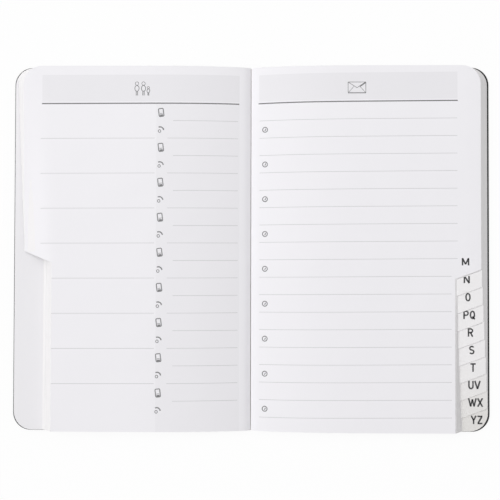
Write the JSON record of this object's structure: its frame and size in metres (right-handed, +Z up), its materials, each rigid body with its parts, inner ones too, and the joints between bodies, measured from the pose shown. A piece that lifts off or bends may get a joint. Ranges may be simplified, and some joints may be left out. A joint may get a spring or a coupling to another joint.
{
  "type": "indexed notebook",
  "caption": "Pocket address book lying open, with thumb index tabs cut in steps down the fore edge, ruled pages and a hard cover that closes.",
  "frame": {"origin": "middle of the underside of the spine, on the surface that the open book lies on", "axes": "+X to the right-hand page's fore edge, +Y to the head of the pages, +Z up out of the open pages"},
  "size_m": [0.1826, 0.1396, 0.0066],
  "materials": {
    "cover_black": "black board with a fine leather-like grain",
    "page_paper": "smooth white paper with grey rules",
    "endpaper": "plain pale paper",
    "lining": "plain woven strip"
  },
  "bodies": {
    "spine": {"spine_strip": "cover_black", "spine_lining": "lining", "sewn_fold": "page_paper"},
    "front_half": {"front_cover": "cover_black", "front_endpaper": "endpaper", "left_pages": "page_paper"},
    "back_half": {"back_cover": "cover_black", "back_endpaper": "endpaper", "right_pages": "page_paper"}
  },
  "joints": [
    {"name": "front_cover_hinge", "type": "hinge", "parent": "spine", "child": "front_half", "pos_m": [-0.0041, 0, 0.0028], "axis": [0, 1, 0], "range_deg": [0, 90]},
    {"name": "back_cover_hinge", "type": "hinge", "parent": "spine", "child": "back_half", "pos_m": [0.0041, 0, 0.0028], "axis": [0, -1, 0], "range_deg": [0, 90]}
  ]
}
